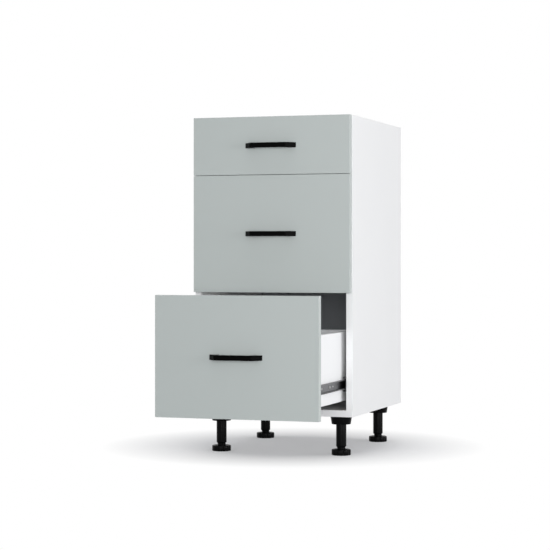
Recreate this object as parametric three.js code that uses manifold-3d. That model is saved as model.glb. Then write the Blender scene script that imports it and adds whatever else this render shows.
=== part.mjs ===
// Base cabinet with three drawers: a white board carcass on four adjustable legs, three slab
// fronts with black bridge handles, and three board drawer boxes on ball-bearing slides.
// The bottom drawer stands pulled out, as it is seen in the photograph.
// Millimetres. +X is to the right of someone facing the fronts, +Y to the rear, +Z up.

import * as THREE from 'three';
import { mergeVertices } from 'three/addons/utils/BufferGeometryUtils.js';
import Module from 'manifold-3d';

const wasm = await Module();
wasm.setup();

// ------------------------------------------------------------------ driving dimensions

// Carcass
const CABINET_WIDTH = 400;
const CARCASS_HEIGHT = 720;
const SIDE_DEPTH = 457;
const BOARD = 16;
const FIBREBOARD = 3;
const RAIL_DEPTH = 90;
const BACK_INSET = 2;

// Fronts, listed from the top down
const FRONT_HEIGHTS = { top: 140, middle: 283, bottom: 282 };
const JOINT_ABOVE_FRONT = { top: 0, middle: 1, bottom: 2 };
const FRONT_SIDE_REVEAL = 2;
const FRONT_STANDOFF = 2;
const FRONT_EDGE_RADIUS = 0.75;

// Drawer boxes
const BOX_HEIGHTS = { top: 84, middle: 165, bottom: 165 };
const BOX_LENGTH = 400;
const BOX_ABOVE_FRONT_EDGE = 25;
const GROOVE_ABOVE_BOX_EDGE = 12;
const GROOVE_WIDTH = 3.5;
const GROOVE_DEPTH = 8;
const GROOVE_CLEARANCE = 0.5;

// How far each drawer stands open
const PULLS = { top: 0, middle: 0, bottom: 248 };

// Two-part ball-bearing slides; x runs from the side panel towards the drawer
const SLIDE_THICKNESS = 12.5;
const SLIDE_LENGTH = 400;
const SLIDE_HEIGHT = 35;
const SLIDE_SHEET = 1.2;
const SLIDE_ABOVE_BOX_EDGE = 41;
const SLIDE_SETBACK = 2;
const CABINET_CHANNEL_DEPTH = 9.6;
const CHANNEL_LIP_DROP = 2.8;
const DRAWER_CHANNEL_HEIGHT = 21.4;
const RACEWAY_HALF_HEIGHT = 10.5;
const RACEWAY_START = 3.2;
const RACEWAY_END = 9.6;
const RACEWAY_LIP_HALF_HEIGHT = 11.2;
const SCREW_HOLE = 4.5;
const SCREW_SLOT = 9;
const CABINET_CHANNEL_HOLES = [35, 365];
const CABINET_CHANNEL_SLOTS = [131, 259];
const DRAWER_CHANNEL_HOLES = [147, 340];
const DRAWER_CHANNEL_SLOTS = [83, 177];

// Ball cage that rolls between the two channels at half the drawer's speed
const CAGE_LENGTH = 90;
const CAGE_SHEET = 0.6;
const CAGE_START = 1.9;
const CAGE_END = 8.8;
const BALL_RADIUS = 2.6;
const BALL_X = 5.9;
const BALL_HALF_HEIGHT = 13.4;
const BALLS_PER_ROW = 4;
const CAGE_SPEED = 0.5;

// Bridge handles
const HANDLE_LENGTH = 128;
const HANDLE_HEIGHT = 12;
const HANDLE_PROJECTION = 24;
const HANDLE_BAR_LENGTH = 90;
const HANDLE_BAR_THICKNESS = 8;
const HANDLE_BASE_LENGTH = 24;
const HANDLE_EDGE_RADIUS = 0.75;

// Legs
const LEG_HEIGHT = 97;
const LEG_FROM_SIDE = 46;
const LEG_FROM_EDGE = 60;
const SOCKET_HEIGHT = 22;
const SOCKET_TOP_RADIUS = 26.25;
const SOCKET_BOTTOM_RADIUS = 23;
const SOCKET_ROOF = 5;
const SOCKET_COLLAR_RADIUS = 15;
const SOCKET_SKIRT_WALL = 2;
const SOCKET_POCKETS = 6;
const SOCKET_RIB = 2.5;
const TUBE_RADIUS = 12.4;
const TUBE_FIT = 0.35;
const TUBE_BOTTOM = 20;
const TUBE_CHAMFER = 1.5;
const TUBE_CHAMFER_HEIGHT = 3;
const TUBE_BORE_RADIUS = 10.5;
const TUBE_TOP_WALL = 6;
const FOOT_RADIUS = 23.25;
const FOOT_HEIGHT = 14;
const FOOT_EDGE_RADIUS = 2;
const FOOT_LOBES = 8;
const FOOT_NOTCH_DEPTH = 1.6;
const FOOT_NOTCH_TURN = 0.51;
const FOOT_DISH_RADIUS = 21;
const FOOT_DISH_FLOOR = 10.5;
const STEM_RADIUS = 10.2;
const STEM_TOP = 62;

// ------------------------------------------------------------------ sizes that follow

const CARCASS_BOTTOM = LEG_HEIGHT;
const CARCASS_TOP = CARCASS_BOTTOM + CARCASS_HEIGHT;
const INNER_WIDTH = CABINET_WIDTH - 2 * BOARD;
const INNER_HALF = INNER_WIDTH / 2;
const FRONT_WIDTH = CABINET_WIDTH - 2 * FRONT_SIDE_REVEAL;
const FRONT_FACE_Y = -FRONT_STANDOFF - BOARD;
const BOX_START_Y = -FRONT_STANDOFF;
const BOX_HALF = INNER_HALF - SLIDE_THICKNESS;
const BOX_INNER_HALF = BOX_HALF - BOARD;
const REAR_Y = SIDE_DEPTH + FIBREBOARD;
const OPEN_HANDLE_Y = FRONT_FACE_Y - HANDLE_PROJECTION - Math.max(...Object.values(PULLS));
const ORIGIN_SHIFT_Y = -(OPEN_HANDLE_Y + REAR_Y) / 2;
const SIDES = { left: -1, right: 1 };

// ------------------------------------------------------------------ materials

const COLOURS = {
  whiteBoard: [0xf3f4f5, 0.45, 0],
  sageFront: [0xb5bbb9, 0.4, 0],
  backSheet: [0xdcdde0, 0.6, 0],
  bottomSheet: [0xe9e9e8, 0.6, 0],
  blackMetal: [0x141415, 0.45, 0.6],
  slideSteel: [0x8d9093, 0.4, 0.9],
  cageSteel: [0xa6a8aa, 0.35, 0.9],
  blackPlastic: [0x17181a, 0.5, 0],
};

function finish(name) {
  const [color, roughness, metalness] = COLOURS[name];
  return new THREE.MeshStandardMaterial({ color, roughness, metalness });
}

// ------------------------------------------------------------------ shape helpers

// A closed geometry becomes a solid once its shared corners are merged.
function solidOf(geometry) {
  const bare = geometry.clone();
  bare.deleteAttribute('normal');
  bare.deleteAttribute('uv');
  const merged = mergeVertices(bare, 1e-4);
  const corners = merged.index.array;
  const kept = [];
  for (let i = 0; i < corners.length; i += 3) {
    const [a, b, c] = corners.slice(i, i + 3);
    if (a !== b && b !== c && c !== a) kept.push(a, b, c);
  }
  return new wasm.Manifold(new wasm.Mesh({
    numProp: 3,
    vertProperties: new Float32Array(merged.attributes.position.array),
    triVerts: new Uint32Array(kept),
  }));
}

function geometryOf(solid) {
  const mesh = solid.getMesh();
  const geometry = new THREE.BufferGeometry();
  geometry.setAttribute('position', new THREE.BufferAttribute(mesh.vertProperties, 3));
  geometry.setIndex(new THREE.BufferAttribute(mesh.triVerts, 1));
  geometry.computeVertexNormals();
  return geometry;
}

function cut(geometry, ...cutters) {
  return geometryOf(cutters.reduce((solid, cutter) => solid.subtract(solidOf(cutter)), solidOf(geometry)));
}

function fuse(geometry, ...additions) {
  return geometryOf(additions.reduce((solid, added) => solid.add(solidOf(added)), solidOf(geometry)));
}

// An outline through corners of [x, y, rounding radius].
function outline(corners) {
  const shape = new THREE.Shape();
  corners.forEach(([x, y, radius = 0], i) => {
    const here = new THREE.Vector2(x, y);
    const previous = corners.at(i - 1);
    const next = corners[(i + 1) % corners.length];
    const back = new THREE.Vector2(previous[0], previous[1]).sub(here).normalize();
    const ahead = new THREE.Vector2(next[0], next[1]).sub(here).normalize();
    const reach = radius / Math.tan(Math.acos(back.dot(ahead)) / 2);
    const start = here.clone().addScaledVector(back, reach);
    const end = here.clone().addScaledVector(ahead, reach);
    if (i === 0) shape.moveTo(start.x, start.y);
    else shape.lineTo(start.x, start.y);
    if (radius > 0) shape.quadraticCurveTo(x, y, end.x, end.y);
  });
  shape.closePath();
  return shape;
}

function extrude(shape, length, curveSegments = 2) {
  return new THREE.ExtrudeGeometry(shape, { depth: length, bevelEnabled: false, curveSegments });
}

// A section drawn in X and Z, run rearwards from y = 0.
function runAlongY(shape, length) {
  return extrude(shape, length).rotateX(Math.PI / 2).translate(0, length, 0);
}

// A section drawn in Y and Z, run to the right from x = 0.
function runAlongX(shape, length, curveSegments) {
  return extrude(shape, length, curveSegments).rotateX(Math.PI / 2).rotateZ(Math.PI / 2);
}

// A profile of [radius, height] turned about the Z axis, listed upwards round the outside.
function turned(profile, segments) {
  const points = profile.map(([radius, height]) => new THREE.Vector2(radius, height));
  return new THREE.LatheGeometry(points, segments).rotateX(Math.PI / 2);
}

// A board whose lowest corner in Y and Z is at the origin and whose middle is at x = 0.
function board(width, depth, height) {
  return new THREE.BoxGeometry(width, depth, height).translate(0, depth / 2, height / 2);
}

function add(parent, name, geometry, material, x = 0, y = 0, z = 0) {
  const mesh = new THREE.Mesh(geometry, finish(material));
  mesh.name = name;
  mesh.position.set(x, y, z);
  parent.add(mesh);
  return mesh;
}

// ------------------------------------------------------------------ carcass

function buildCarcass(cabinet) {
  const sidePanel = board(BOARD, SIDE_DEPTH, CARCASS_HEIGHT);
  for (const [side, sign] of Object.entries(SIDES)) {
    const middle = sign * (CABINET_WIDTH - BOARD) / 2;
    add(cabinet, `side_panel_${side}`, sidePanel, 'whiteBoard', middle, 0, CARCASS_BOTTOM);
  }
  add(cabinet, 'bottom_panel', board(INNER_WIDTH, SIDE_DEPTH, BOARD), 'whiteBoard', 0, 0, CARCASS_BOTTOM);
  const rail = board(INNER_WIDTH, RAIL_DEPTH, BOARD);
  const railZ = CARCASS_TOP - BOARD;
  add(cabinet, 'top_rail_front', rail, 'whiteBoard', 0, 0, railZ);
  add(cabinet, 'top_rail_rear', rail, 'whiteBoard', 0, SIDE_DEPTH - RAIL_DEPTH, railZ);
  const back = board(CABINET_WIDTH - 2 * BACK_INSET, FIBREBOARD, CARCASS_HEIGHT - 2 * BACK_INSET);
  add(cabinet, 'back_panel', back, 'backSheet', 0, SIDE_DEPTH, CARCASS_BOTTOM + BACK_INSET);
}

// ------------------------------------------------------------------ legs

// Moulded cup: a tapered skirt and a collar for the tube, with ribs between open pockets.
function socketShape() {
  const segments = 24;
  const cupRadius = TUBE_RADIUS + TUBE_FIT;
  const cup = turned([
    [0, SOCKET_HEIGHT - SOCKET_ROOF],
    [cupRadius, SOCKET_HEIGHT - SOCKET_ROOF],
    [cupRadius, 0],
    [SOCKET_BOTTOM_RADIUS, 0],
    [SOCKET_TOP_RADIUS, SOCKET_HEIGHT - 2],
    [SOCKET_TOP_RADIUS, SOCKET_HEIGHT],
    [0, SOCKET_HEIGHT],
  ], segments);
  const pocketOuter = SOCKET_BOTTOM_RADIUS - SOCKET_SKIRT_WALL;
  const ribAngle = SOCKET_RIB / ((SOCKET_COLLAR_RADIUS + pocketOuter) / 2);
  const pocketAngle = 2 * Math.PI / SOCKET_POCKETS - ribAngle;
  const pockets = [];
  for (let i = 0; i < SOCKET_POCKETS; i += 1) {
    const start = i * 2 * Math.PI / SOCKET_POCKETS;
    const shape = new THREE.Shape();
    shape.absarc(0, 0, pocketOuter, start, start + pocketAngle, false);
    shape.absarc(0, 0, SOCKET_COLLAR_RADIUS, start + pocketAngle, start, true);
    const pocket = extrude(shape, SOCKET_HEIGHT - SOCKET_ROOF + 1, 3);
    pockets.push(pocket.translate(0, 0, -1));
  }
  return cut(cup, ...pockets);
}

// Tube with a chamfered mouth and a long bore for the foot's stem.
function tubeShape() {
  const top = LEG_HEIGHT - SOCKET_ROOF - TUBE_FIT;
  return turned([
    [0, top - TUBE_TOP_WALL],
    [TUBE_BORE_RADIUS, top - TUBE_TOP_WALL],
    [TUBE_BORE_RADIUS, TUBE_BOTTOM],
    [TUBE_RADIUS - TUBE_CHAMFER, TUBE_BOTTOM],
    [TUBE_RADIUS, TUBE_BOTTOM + TUBE_CHAMFER_HEIGHT],
    [TUBE_RADIUS, top],
    [0, top],
  ], 24);
}

// Knob-edged foot: notches for the fingers, a dished top and the stem that carries the thread.
function footShape() {
  const points = [];
  const steps = FOOT_LOBES * 5;
  for (let i = 0; i < steps; i += 1) {
    const angle = i * 2 * Math.PI / steps;
    const wave = Math.cos(FOOT_LOBES * angle);
    const radius = FOOT_RADIUS - FOOT_NOTCH_DEPTH * Math.max(0, wave) ** 2;
    points.push(new THREE.Vector2(radius * Math.cos(angle), radius * Math.sin(angle)));
  }
  const disc = new THREE.ExtrudeGeometry(new THREE.Shape(points), {
    depth: FOOT_HEIGHT - 2 * FOOT_EDGE_RADIUS,
    bevelThickness: FOOT_EDGE_RADIUS,
    bevelSize: FOOT_EDGE_RADIUS,
    bevelOffset: -FOOT_EDGE_RADIUS,
    bevelSegments: 2,
  }).translate(0, 0, FOOT_EDGE_RADIUS);
  const dish = turned([
    [0, FOOT_DISH_FLOOR],
    [STEM_RADIUS, FOOT_DISH_FLOOR],
    [FOOT_DISH_RADIUS, FOOT_HEIGHT + 0.1],
    [0, FOOT_HEIGHT + 0.1],
  ], 20);
  const stem = turned([
    [0, FOOT_DISH_FLOOR - 2],
    [STEM_RADIUS, FOOT_DISH_FLOOR - 2],
    [STEM_RADIUS, STEM_TOP - 1],
    [STEM_RADIUS - 1, STEM_TOP],
    [0, STEM_TOP],
  ], 20);
  const foot = geometryOf(solidOf(disc).subtract(solidOf(dish)).add(solidOf(stem)));
  return foot.rotateZ(FOOT_NOTCH_TURN);
}

function buildLegs(cabinet) {
  const socket = socketShape();
  const tube = tubeShape();
  const foot = footShape();
  const rows = { front: LEG_FROM_EDGE, rear: SIDE_DEPTH - LEG_FROM_EDGE };
  for (const [row, y] of Object.entries(rows)) {
    for (const [side, sign] of Object.entries(SIDES)) {
      const x = sign * (CABINET_WIDTH / 2 - LEG_FROM_SIDE);
      const socketZ = CARCASS_BOTTOM - SOCKET_HEIGHT;
      add(cabinet, `leg_socket_${row}_${side}`, socket, 'blackPlastic', x, y, socketZ);
      add(cabinet, `leg_tube_${row}_${side}`, tube, 'blackPlastic', x, y, 0);
      add(cabinet, `leg_foot_${row}_${side}`, foot, 'blackPlastic', x, y, 0);
    }
  }
}

// ------------------------------------------------------------------ slides

// Slide sections are drawn with x from the side panel and mirrored for the left side.
function slideSection(corners, sign) {
  return outline(corners.map(([x, z, radius]) => [sign * (INNER_HALF - x), z, radius]));
}

// The same corners above the slide's middle line and, in reverse, below it.
function aboveAndBelow(corners) {
  return [...corners, ...corners.map(([x, z, radius]) => [x, -z, radius]).reverse()];
}

// A screw slot, or a round hole where the length equals the width.
function screwOpening(sign, length, x, y) {
  const half = (length - SCREW_HOLE) / 2;
  const shape = new THREE.Shape();
  shape.absarc(y + half, 0, SCREW_HOLE / 2, -Math.PI / 2, half > 0 ? Math.PI / 2 : Math.PI * 1.5);
  if (half > 0) shape.absarc(y - half, 0, SCREW_HOLE / 2, Math.PI / 2, Math.PI * 1.5);
  const drill = runAlongX(shape, 2 * SLIDE_SHEET, half > 0 ? 3 : 8);
  return drill.translate(sign * (INNER_HALF - x) - SLIDE_SHEET, 0, 0);
}

// Round holes and slots at their distances from the slide's front end.
function screwOpenings(sign, x, holes, slots) {
  return [
    ...holes.map((y) => screwOpening(sign, SCREW_HOLE, x, y)),
    ...slots.map((y) => screwOpening(sign, SCREW_SLOT, x, y)),
  ];
}

// Outer channel on the side panel, rolled over at its edges to hold the balls.
function cabinetMember(sign) {
  const half = SLIDE_HEIGHT / 2;
  const lip = half - CHANNEL_LIP_DROP;
  const sheet = SLIDE_SHEET;
  const depth = CABINET_CHANNEL_DEPTH;
  const section = slideSection(aboveAndBelow([
    [0, half, 2.4],
    [depth, half, 2.4],
    [depth, lip],
    [depth - sheet, lip],
    [depth - sheet, half - sheet, 1.2],
    [sheet, half - sheet, 1.2],
  ]), sign);
  const openings = screwOpenings(sign, sheet / 2, CABINET_CHANNEL_HOLES, CABINET_CHANNEL_SLOTS);
  return cut(runAlongY(section, SLIDE_LENGTH), ...openings);
}

// Inner channel on the drawer side; its flanges are the inner raceways.
function drawerMember(sign) {
  const face = SLIDE_THICKNESS;
  const sheet = SLIDE_SHEET;
  const half = DRAWER_CHANNEL_HEIGHT / 2;
  const race = RACEWAY_HALF_HEIGHT;
  const section = slideSection(aboveAndBelow([
    [face, half, 1.5],
    [RACEWAY_END, half],
    [RACEWAY_END - 0.4, race],
    [RACEWAY_START + 1, race],
    [RACEWAY_START + 0.7, RACEWAY_LIP_HALF_HEIGHT],
    [RACEWAY_START, RACEWAY_LIP_HALF_HEIGHT],
    [RACEWAY_START, race - sheet],
    [face - sheet, race - sheet, 0.5],
  ]), sign);
  const x = face - sheet / 2;
  const openings = screwOpenings(sign, x, DRAWER_CHANNEL_HOLES, DRAWER_CHANNEL_SLOTS);
  return cut(runAlongY(section, SLIDE_LENGTH), ...openings);
}

// Thin U of sheet that spaces two rows of balls.
function ballCage(sign) {
  const half = BALL_HALF_HEIGHT + CAGE_SHEET / 2;
  const inner = half - CAGE_SHEET;
  const section = slideSection(aboveAndBelow([
    [CAGE_START, half],
    [CAGE_END, half],
    [CAGE_END, inner],
    [CAGE_START + CAGE_SHEET, inner],
  ]), sign);
  const pitch = CAGE_LENGTH / BALLS_PER_ROW;
  const balls = [];
  for (let i = 0; i < BALLS_PER_ROW; i += 1) {
    for (const z of [BALL_HALF_HEIGHT, -BALL_HALF_HEIGHT]) {
      const ball = new THREE.SphereGeometry(BALL_RADIUS, 6, 4);
      balls.push(ball.translate(sign * (INNER_HALF - BALL_X), (i + 0.5) * pitch, z));
    }
  }
  return fuse(runAlongY(section, CAGE_LENGTH), ...balls);
}

function buildSlides(cabinet, drawer, place, slideZ, pull) {
  const cageY = SLIDE_SETBACK + (SLIDE_LENGTH - CAGE_LENGTH) / 2 - CAGE_SPEED * pull;
  for (const [side, sign] of Object.entries(SIDES)) {
    const fixedName = `${place}_slide_cabinet_member_${side}`;
    add(cabinet, fixedName, cabinetMember(sign), 'slideSteel', 0, SLIDE_SETBACK, slideZ);
    add(cabinet, `${place}_slide_ball_cage_${side}`, ballCage(sign), 'cageSteel', 0, cageY, slideZ);
    const movingName = `${place}_slide_drawer_member_${side}`;
    const movingY = SLIDE_SETBACK - 1;
    const movingZ = slideZ - drawer.position.z;
    add(drawer, movingName, drawerMember(sign), 'slideSteel', 0, movingY, movingZ);
  }
}

// ------------------------------------------------------------------ drawers

// Slab front with softly broken edges; its lower edge is at z = 0.
function frontShape(height) {
  const edge = FRONT_EDGE_RADIUS;
  const half = FRONT_WIDTH / 2;
  const face = outline([[-half, 0], [half, 0], [half, height], [-half, height]]);
  return new THREE.ExtrudeGeometry(face, {
    depth: BOARD - 2 * edge,
    bevelThickness: edge,
    bevelSize: edge,
    bevelOffset: -edge,
    bevelSegments: 2,
  }).rotateX(Math.PI / 2).translate(0, -FRONT_STANDOFF - edge, 0);
}

// Bridge handle seen from above: wide slanted feet and a straight bar.
function handleShape() {
  const base = HANDLE_LENGTH / 2;
  const bar = HANDLE_BAR_LENGTH / 2;
  const innerBase = base - HANDLE_BASE_LENGTH;
  const innerBar = innerBase - 4;
  const out = -HANDLE_PROJECTION;
  const inside = out + HANDLE_BAR_THICKNESS;
  const edge = HANDLE_EDGE_RADIUS;
  const plan = outline([
    [-base, 0],
    [-bar, out, 4],
    [bar, out, 4],
    [base, 0],
    [innerBase, 0],
    [innerBar, inside, 4],
    [-innerBar, inside, 4],
    [-innerBase, 0],
  ]);
  return new THREE.ExtrudeGeometry(plan, {
    depth: HANDLE_HEIGHT - 2 * edge,
    bevelThickness: edge,
    bevelSize: edge,
    bevelOffset: -edge,
    bevelSegments: 1,
    curveSegments: 5,
  }).translate(0, 0, edge - HANDLE_HEIGHT / 2);
}

// Section of a box board with the groove for the bottom sheet in its inner face.
// The board's outer face is at 0 and its inner face at `inner`, which may be negative.
function groovedSection(inner, height) {
  const floor = inner - Math.sign(inner) * GROOVE_DEPTH;
  const low = GROOVE_ABOVE_BOX_EDGE;
  const high = low + GROOVE_WIDTH;
  return outline([
    [0, 0], [inner, 0], [inner, low], [floor, low],
    [floor, high], [inner, high], [inner, height], [0, height],
  ]);
}

function buildDrawer(cabinet, place, frontZ) {
  const pull = PULLS[place];
  const height = BOX_HEIGHTS[place];
  const drawer = new THREE.Group();
  drawer.position.set(0, -pull, frontZ);
  cabinet.add(drawer);

  add(drawer, `${place}_drawer_front`, frontShape(FRONT_HEIGHTS[place]), 'sageFront');
  const handleZ = FRONT_HEIGHTS[place] / 2;
  add(drawer, `${place}_drawer_handle`, handleShape(), 'blackMetal', 0, FRONT_FACE_Y, handleZ);

  const boxZ = BOX_ABOVE_FRONT_EDGE;
  for (const [side, sign] of Object.entries(SIDES)) {
    const wall = runAlongY(groovedSection(-sign * BOARD, height), BOX_LENGTH);
    const x = sign * BOX_HALF;
    add(drawer, `${place}_drawer_side_${side}`, wall, 'whiteBoard', x, BOX_START_Y, boxZ);
  }
  const innerWidth = 2 * BOX_INNER_HALF;
  const ends = {
    box_front: [BOARD, BOX_START_Y],
    box_back: [-BOARD, BOX_START_Y + BOX_LENGTH],
  };
  for (const [end, [inner, y]] of Object.entries(ends)) {
    const wall = runAlongX(groovedSection(inner, height), innerWidth);
    add(drawer, `${place}_drawer_${end}`, wall, 'whiteBoard', -BOX_INNER_HALF, y, boxZ);
  }
  const tongue = GROOVE_DEPTH - GROOVE_CLEARANCE;
  const innerLength = BOX_LENGTH - 2 * BOARD;
  const sheet = board(innerWidth + 2 * tongue, innerLength + 2 * tongue, FIBREBOARD);
  const sheetY = BOX_START_Y + BOARD - tongue;
  const sheetZ = boxZ + GROOVE_ABOVE_BOX_EDGE + (GROOVE_WIDTH - FIBREBOARD) / 2;
  add(drawer, `${place}_drawer_bottom`, sheet, 'bottomSheet', 0, sheetY, sheetZ);

  buildSlides(cabinet, drawer, place, frontZ + boxZ + SLIDE_ABOVE_BOX_EDGE, pull);
}

// ------------------------------------------------------------------ the whole cabinet

const cabinet = new THREE.Group();
cabinet.position.set(0, ORIGIN_SHIFT_Y, 0);
buildCarcass(cabinet);
buildLegs(cabinet);

let frontZ = CARCASS_TOP;
for (const place of ['top', 'middle', 'bottom']) {
  frontZ -= JOINT_ABOVE_FRONT[place] + FRONT_HEIGHTS[place];
  buildDrawer(cabinet, place, frontZ);
}

export default cabinet;
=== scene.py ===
# %% [markdown]
# # A kitchen base cabinet with three drawers
#
# The CAD model already says where every board, slide and leg is. This lesson dresses it: each
# piece is rebuilt with the edges, sheet-metal bends, threads and screws that the real one has,
# and gets a finish made of shader nodes. The frame is loaded first, because every piece takes
# its size from it, and the CAD box is kept.

# %% Load the frame
import math

import bmesh
import bpy
from mathutils import Matrix, Vector


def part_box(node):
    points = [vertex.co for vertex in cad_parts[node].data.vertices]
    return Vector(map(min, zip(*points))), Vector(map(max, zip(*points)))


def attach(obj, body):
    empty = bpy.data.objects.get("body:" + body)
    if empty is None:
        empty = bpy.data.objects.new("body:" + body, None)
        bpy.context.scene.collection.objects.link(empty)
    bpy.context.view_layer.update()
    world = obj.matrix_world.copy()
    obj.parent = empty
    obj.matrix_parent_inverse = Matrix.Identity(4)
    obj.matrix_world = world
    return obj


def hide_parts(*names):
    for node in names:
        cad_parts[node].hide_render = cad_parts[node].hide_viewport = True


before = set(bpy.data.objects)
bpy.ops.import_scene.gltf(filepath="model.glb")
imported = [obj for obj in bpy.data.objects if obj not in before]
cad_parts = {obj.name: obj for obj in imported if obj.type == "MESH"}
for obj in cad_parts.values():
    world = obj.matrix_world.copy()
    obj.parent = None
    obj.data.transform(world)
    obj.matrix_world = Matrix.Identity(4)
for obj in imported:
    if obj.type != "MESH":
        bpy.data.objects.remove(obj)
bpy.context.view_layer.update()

# %% [markdown]
# ## The view
#
# The photograph was taken level, from the right of the cabinet and from more than four metres
# away, so its upright edges stay parallel. A long lens at the same place gives the same
# picture. The horizon lies a little above the middle of the frame, which a shift of the lens
# does without tilting the camera.

# %% Camera
camera_data = bpy.data.cameras.new("camera")
camera_data.sensor_width = 36.0
camera_data.lens = 117.87
camera_data.shift_y = -0.03462
camera = bpy.data.objects.new("camera", camera_data)
camera.location = (1.38358, -4.20436, 0.48104)
camera.rotation_euler = (math.pi / 2, 0.0, 0.3229)
bpy.context.collection.objects.link(camera)
bpy.context.scene.camera = camera
print("camera", round(camera_data.lens, 2), "mm, at", tuple(camera.location))

# %% [markdown]
# ## Light, floor and background
#
# The cabinet stands in an even studio light: a pale dome and wide soft boxes that stand low and
# far away. Those in front on the right give the fronts their slight fall-off from right to
# left, and being as low as the handles they leave only a faint shadow around each of them. One
# lamp hangs above, and a weak one behind on the left fills the sides that the camera does not
# see. Camera, glossy and transmission rays see the dome as plain white, so the background is
# white and the black pieces reflect it too, while only the light on the boards is held back.

# %% Dome
DOME_LIGHT = 0.4
scene = bpy.context.scene
scene.view_settings.view_transform = "Standard"
world = bpy.data.worlds.new("studio dome")
scene.world = world
world.use_nodes = True
dome = world.node_tree
dome.nodes.clear()


def white_for_the_eye(tree):
    """1 for camera, glossy and transmission rays, else 0."""
    rays = tree.nodes.new("ShaderNodeLightPath")
    total = None
    for kind in ("Is Camera Ray", "Is Glossy Ray", "Is Transmission Ray"):
        if total is None:
            total = rays.outputs[kind]
            continue
        adder = tree.nodes.new("ShaderNodeMath")
        adder.operation = "ADD"
        adder.use_clamp = True
        tree.links.new(total, adder.inputs[0])
        tree.links.new(rays.outputs[kind], adder.inputs[1])
        total = adder.outputs[0]
    return total


lit = dome.nodes.new("ShaderNodeBackground")
lit.inputs["Color"].default_value = (0.985, 0.99, 1.0, 1.0)
lit.inputs["Strength"].default_value = DOME_LIGHT
seen = dome.nodes.new("ShaderNodeBackground")
seen.inputs["Color"].default_value = (1.0, 1.0, 1.0, 1.0)
seen.inputs["Strength"].default_value = 1.0
either = dome.nodes.new("ShaderNodeMixShader")
dome_out = dome.nodes.new("ShaderNodeOutputWorld")
dome.links.new(white_for_the_eye(dome), either.inputs["Fac"])
dome.links.new(lit.outputs[0], either.inputs[1])
dome.links.new(seen.outputs[0], either.inputs[2])
dome.links.new(either.outputs[0], dome_out.inputs["Surface"])
print("dome", DOME_LIGHT)

# %% [markdown]
# Each lamp is a flat soft box that looks at the middle of the cabinet. Wide boxes far away
# light a face evenly from top to bottom, as in the photograph.

# %% Lamps
LAMPS = {
    "lamp_front_right": {"at": (2.2, -4.6, 0.75), "wide": 3.2, "high": 1.4, "watts": 88.0},
    "lamp_right": {"at": (4.6, -0.9, 0.75), "wide": 3.2, "high": 1.4, "watts": 97.0},
    "lamp_front": {"at": (0.0, -5.2, 1.0), "wide": 3.4, "high": 1.8, "watts": 29.0},
    "lamp_above": {"at": (0.0, -0.1, 3.2), "wide": 2.4, "high": 2.4, "watts": 27.5},
    "lamp_behind": {"at": (-3.6, 2.6, 1.4), "wide": 2.6, "high": 2.2, "watts": 12.0},
}
AIM = Vector((0.0, -0.1, 0.45))
for name, lamp in LAMPS.items():
    data = bpy.data.lights.new(name, "AREA")
    data.shape = "RECTANGLE"
    data.size = lamp["wide"]
    data.size_y = lamp["high"]
    data.energy = lamp["watts"]
    holder = bpy.data.objects.new(name, data)
    holder.location = lamp["at"]
    holder.rotation_euler = (AIM - Vector(lamp["at"])).to_track_quat("-Z", "Y").to_euler()
    bpy.context.collection.objects.link(holder)
    print(name, lamp["watts"], "W")

# %% [markdown]
# The floor is a large pale sheet. Around the cabinet the camera sees it as it is lit, so the
# soft shadow and the contact of each foot stay, with a faint glow added. Further out it fades
# to the white of the background, and half a metre from the middle of the cabinet it has
# reached it, so there is no horizon.

# %% Floor
FLOOR_HALF = 14.0
floor_bm = bmesh.new()
bmesh.ops.create_grid(floor_bm, x_segments=1, y_segments=1, size=FLOOR_HALF)
floor_mesh = bpy.data.meshes.new("floor")
floor_bm.to_mesh(floor_mesh)
floor_bm.free()
floor = bpy.data.objects.new("floor", floor_mesh)
bpy.context.collection.objects.link(floor)
print("floor", 2 * FLOOR_HALF, "m wide")

# %% [markdown]
# The fade is in the floor's material. Near the cabinet the eye sees matt grey with a faint
# glow, and farther out plain white emission. All other rays only meet the matt grey, so the
# white puts no light on the boards. A picture pasted on white afterwards would lose the shadow.

# %% Floor material
FLOOR_GLOW = 0.3
FADE_CENTRE = (-0.02, 0.143, 0.0)
FADE_START, FADE_END = 0.22, 0.486
paper = bpy.data.materials.new("studio floor")
paper.use_nodes = True
tree = paper.node_tree
tree.nodes.clear()
matt = tree.nodes.new("ShaderNodeBsdfDiffuse")
matt.inputs["Color"].default_value = (0.49, 0.495, 0.513, 1.0)
glow = tree.nodes.new("ShaderNodeEmission")
glow.inputs["Color"].default_value = (1.0, 1.0, 1.0, 1.0)
lift = tree.nodes.new("ShaderNodeMath")
lift.operation = "MULTIPLY"
lift.inputs[1].default_value = FLOOR_GLOW
near = tree.nodes.new("ShaderNodeAddShader")
far = tree.nodes.new("ShaderNodeEmission")
far.inputs["Color"].default_value = (1.0, 1.0, 1.0, 1.0)
spot = tree.nodes.new("ShaderNodeTexCoord")
reach = tree.nodes.new("ShaderNodeVectorMath")
reach.operation = "DISTANCE"
reach.inputs[1].default_value = FADE_CENTRE
fade = tree.nodes.new("ShaderNodeMapRange")
fade.inputs["From Min"].default_value = FADE_START
fade.inputs["From Max"].default_value = FADE_END
for_the_eye = tree.nodes.new("ShaderNodeMath")
for_the_eye.operation = "MULTIPLY"
both = tree.nodes.new("ShaderNodeMixShader")
out = tree.nodes.new("ShaderNodeOutputMaterial")
eye = white_for_the_eye(tree)
tree.links.new(eye, lift.inputs[0])
tree.links.new(lift.outputs[0], glow.inputs["Strength"])
tree.links.new(matt.outputs[0], near.inputs[0])
tree.links.new(glow.outputs[0], near.inputs[1])
tree.links.new(spot.outputs["Object"], reach.inputs[0])
tree.links.new(reach.outputs["Value"], fade.inputs["Value"])
tree.links.new(fade.outputs["Result"], for_the_eye.inputs[0])
tree.links.new(eye, for_the_eye.inputs[1])
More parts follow.
